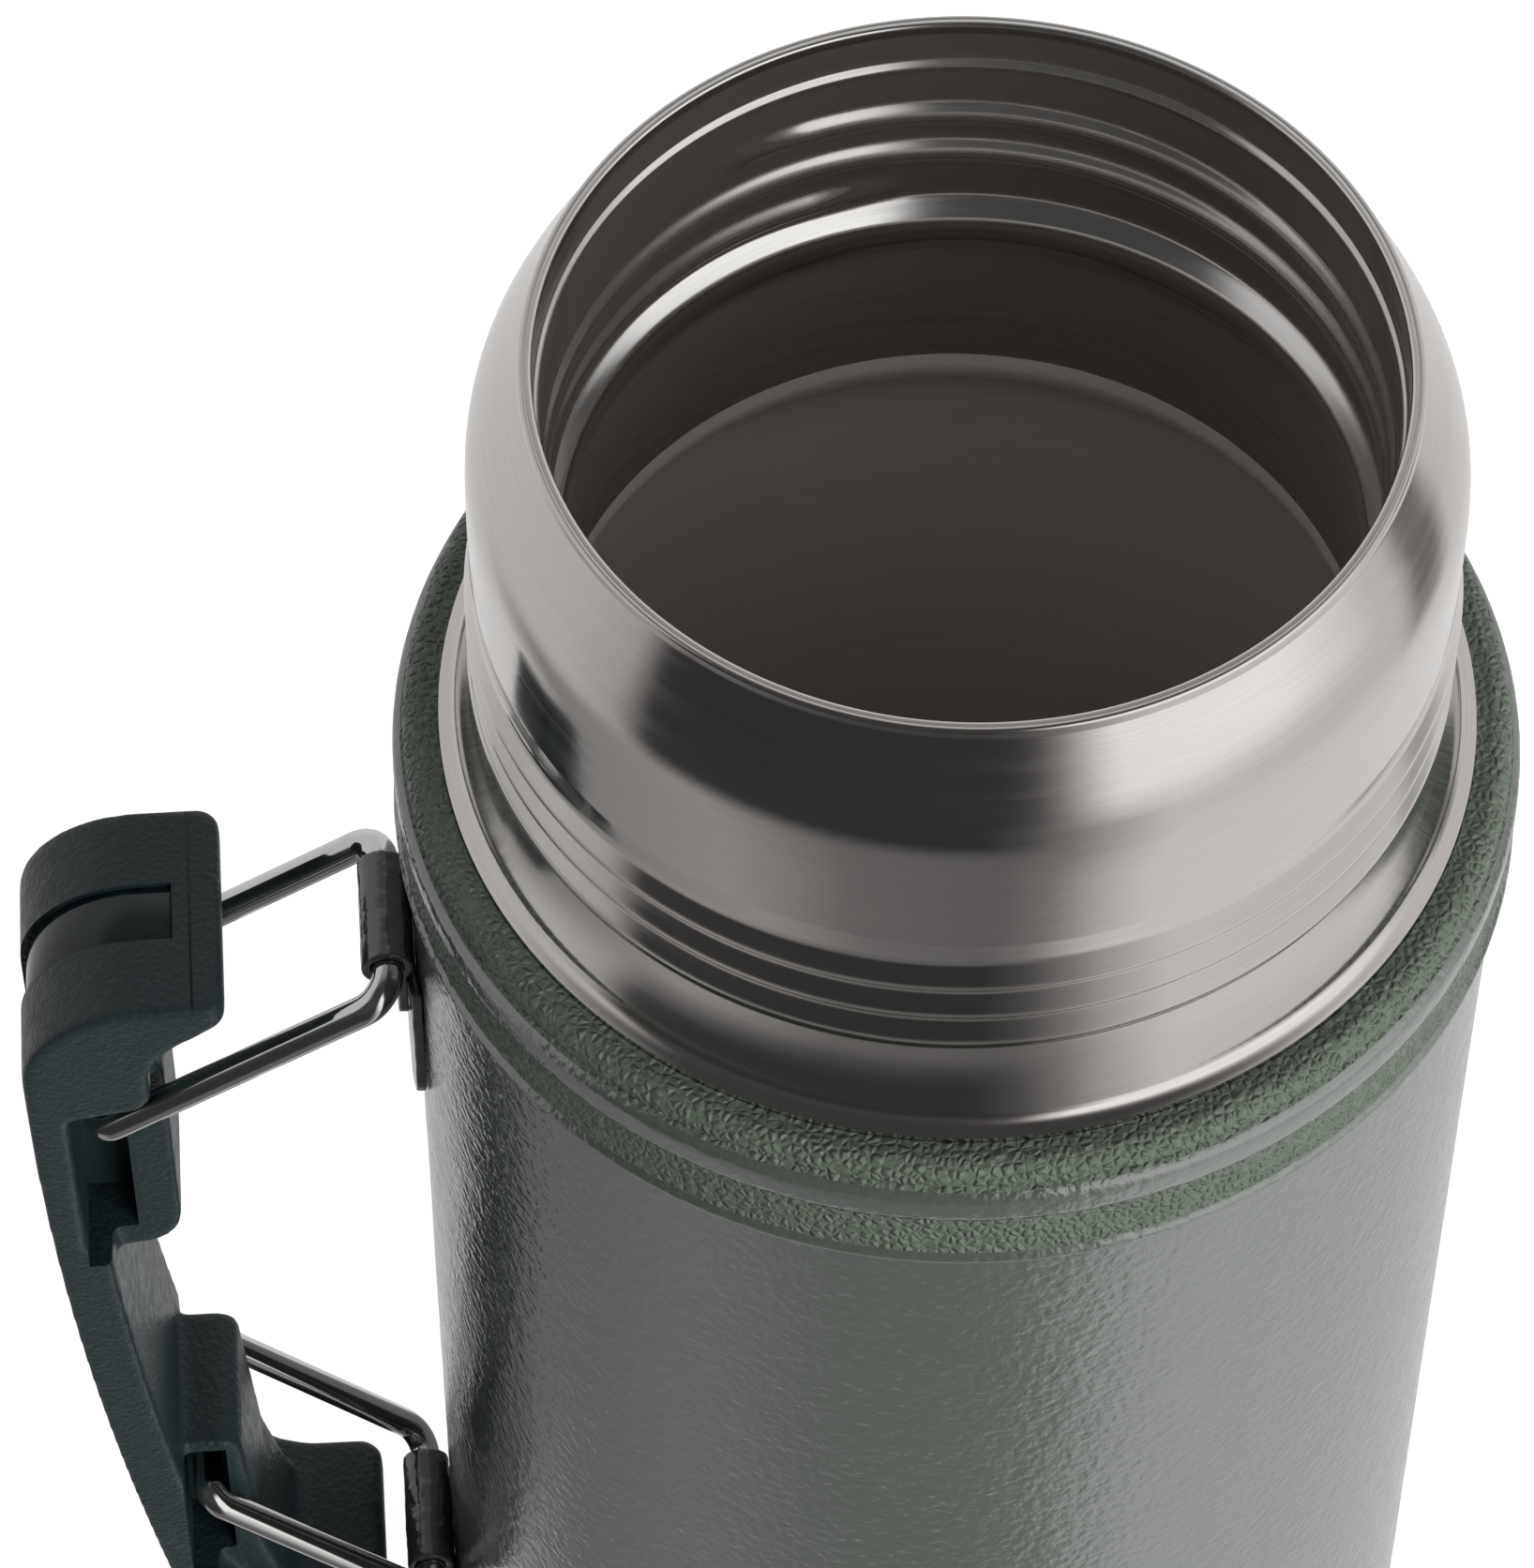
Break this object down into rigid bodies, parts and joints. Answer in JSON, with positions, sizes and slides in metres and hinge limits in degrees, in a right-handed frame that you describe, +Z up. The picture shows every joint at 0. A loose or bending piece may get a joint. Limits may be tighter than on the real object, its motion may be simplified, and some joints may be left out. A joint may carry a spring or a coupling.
{
  "type": "vacuum flask",
  "caption": "Wide-mouth steel vacuum flask with painted body, bare threaded neck, open mouth and a fold-in carrying handle on two wire bails.",
  "frame": {"origin": "centre of the base, on the surface that the flask stands on", "axes": "+Z up along the flask's axis to the mouth, handle on the -X side, Y along the bails' pins"},
  "size_m": [0.1655, 0.1224, 0.276],
  "materials": {
    "body_paint": "hammered gloss",
    "neck_steel": "brushed",
    "vessel_steel": "satin",
    "wire_steel": "polished",
    "grip_plastic": "fine grain",
    "inlay_plastic": "smooth",
    "foil": "bright",
    "seal_glass": "fused",
    "getter_alloy": "sintered",
    "pad": "matt"
  },
  "bodies": {
    "flask": {"outer_shell": "body_paint", "shoulder_band": "body_paint", "neck_shell": "neck_steel", "mouth_liner": "neck_steel", "inner_vessel": "vessel_steel", "inner_vessel_base": "vessel_steel", "outer_base": "neck_steel", "seal_cover": "neck_steel", "vacuum_seal": "seal_glass", "getter": "getter_alloy", "getter_holder": "neck_steel", "radiation_foil": "foil", "support_spacer": "pad", "upper_bracket_plate": "body_paint", "upper_bracket_knuckle": "body_paint", "lower_bracket_plate": "body_paint", "lower_bracket_knuckle": "body_paint"},
    "upper_bail": {"upper_bail": "wire_steel"},
    "lower_bail": {"lower_bail": "wire_steel"},
    "handle": {"handle_grip": "grip_plastic", "grip_inlay": "inlay_plastic"}
  },
  "joints": [
    {"name": "handle_fold", "type": "hinge", "parent": "flask", "child": "handle", "pos_m": [-0.084, 0, -0.046], "axis": [0, 1, 0], "range_deg": [0, 3.55]},
    {"name": "upper_bail_hinge", "type": "hinge", "parent": "flask", "child": "upper_bail", "pos_m": [-0.063, 0, 0.181], "axis": [0, 1, 0], "range_deg": [-23.7, 0]},
    {"name": "lower_bail_hinge", "type": "hinge", "parent": "flask", "child": "lower_bail", "pos_m": [-0.063, 0, 0.0447], "axis": [0, 1, 0], "range_deg": [0, 13.8]}
  ],
  "couplings": [
    {"joint": "upper_bail_hinge", "follows": "handle_fold", "ratio": -6.65},
    {"joint": "lower_bail_hinge", "follows": "handle_fold", "ratio": 3.85}
  ]
}
